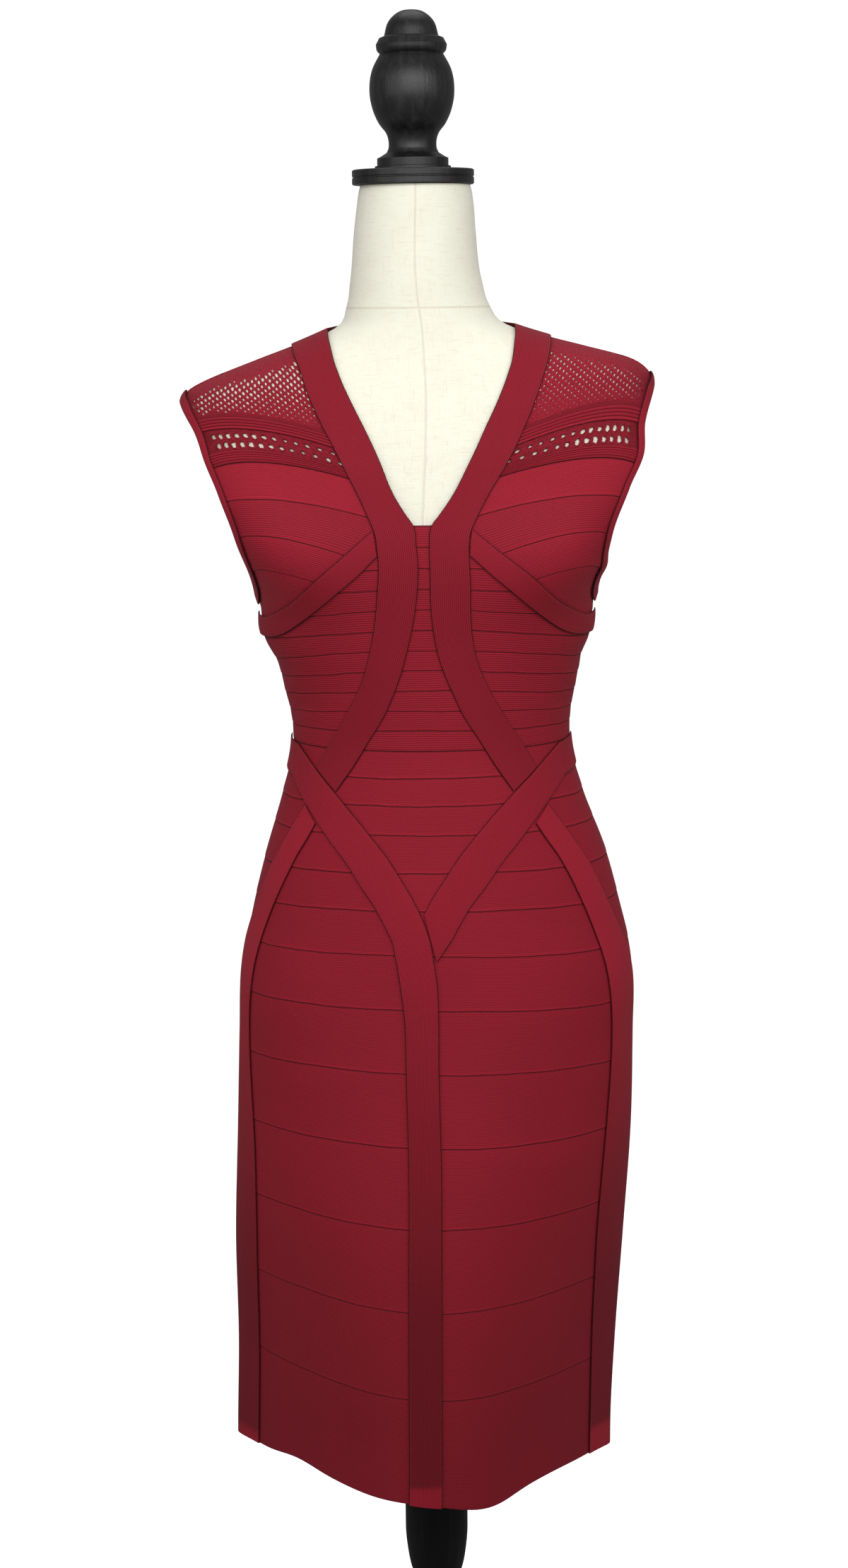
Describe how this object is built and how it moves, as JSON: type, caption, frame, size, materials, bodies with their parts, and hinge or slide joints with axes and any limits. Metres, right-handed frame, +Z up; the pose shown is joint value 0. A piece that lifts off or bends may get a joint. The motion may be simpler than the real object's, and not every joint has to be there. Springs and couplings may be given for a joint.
{
  "type": "bodycon dress on a dress form",
  "caption": "Sleeveless V-neck knee-length dress of ribbed knit bands with net yokes and openwork, worn by a limbless linen dress form with a turned finial on a stand.",
  "frame": {"origin": "centre of the stand base on the floor, in the middle of the part's bounds", "axes": "+Z up along the form, -Y towards the front of the dress, +X towards the viewer's right"},
  "size_m": [0.3855, 0.3474, 1.611],
  "materials": {
    "front_bodice": "wine red stretch knit, fine ribs",
    "front_skirt": "wine red stretch knit, fine ribs",
    "back_bodice_left": "wine red stretch knit, fine ribs",
    "back_bodice_right": "wine red stretch knit, fine ribs",
    "back_skirt_left": "wine red stretch knit, fine ribs",
    "back_skirt_right": "wine red stretch knit, fine ribs",
    "bust_panel_left": "wine red stretch knit, fine ribs",
    "bust_panel_right": "wine red stretch knit, fine ribs",
    "rib_band_lower_left": "wine red stretch knit, fine ribs",
    "rib_band_lower_right": "wine red stretch knit, fine ribs",
    "openwork_left": "wine red stretch knit, fine ribs",
    "openwork_right": "wine red stretch knit, fine ribs",
    "rib_band_upper_left": "wine red stretch knit, fine ribs",
    "rib_band_upper_right": "wine red stretch knit, fine ribs",
    "yoke_left": "wine red stretch knit, fine ribs",
    "yoke_right": "wine red stretch knit, fine ribs",
    "neck_band_left": "wine red stretch knit, fine ribs",
    "neck_band_right": "wine red stretch knit, fine ribs",
    "neck_band_back": "wine red stretch knit, fine ribs",
    "underbust_band_left": "wine red stretch knit, fine ribs",
    "underbust_band_right": "wine red stretch knit, fine ribs",
    "hip_band_long": "wine red stretch knit, fine ribs",
    "hip_band_short": "wine red stretch knit, fine ribs",
    "side_band_left": "wine red stretch knit, fine ribs",
    "side_band_right": "wine red stretch knit, fine ribs",
    "armhole_band_left": "wine red stretch knit, fine ribs",
    "armhole_band_right": "wine red stretch knit, fine ribs",
    "form_body": "cream slub linen cover",
    "neck_plate": "black paint, satin",
    "finial": "black paint, satin",
    "stand_stem": "black paint, satin",
    "stand_pole": "black paint, satin",
    "stand_base": "black paint, satin"
  },
  "bodies": {
    "root": {"front_bodice": "front_bodice", "front_skirt": "front_skirt", "back_bodice_left": "back_bodice_left", "back_bodice_right": "back_bodice_right", "back_skirt_left": "back_skirt_left", "back_skirt_right": "back_skirt_right", "bust_panel_left": "bust_panel_left", "bust_panel_right": "bust_panel_right", "rib_band_lower_left": "rib_band_lower_left", "rib_band_lower_right": "rib_band_lower_right", "openwork_left": "openwork_left", "openwork_right": "openwork_right", "rib_band_upper_left": "rib_band_upper_left", "rib_band_upper_right": "rib_band_upper_right", "yoke_left": "yoke_left", "yoke_right": "yoke_right", "neck_band_left": "neck_band_left", "neck_band_right": "neck_band_right", "neck_band_back": "neck_band_back", "underbust_band_left": "underbust_band_left", "underbust_band_right": "underbust_band_right", "hip_band_long": "hip_band_long", "hip_band_short": "hip_band_short", "side_band_left": "side_band_left", "side_band_right": "side_band_right", "armhole_band_left": "armhole_band_left", "armhole_band_right": "armhole_band_right", "form_body": "form_body", "neck_plate": "neck_plate", "finial": "finial", "stand_stem": "stand_stem", "stand_pole": "stand_pole", "stand_base": "stand_base"}
  },
  "joints": []
}
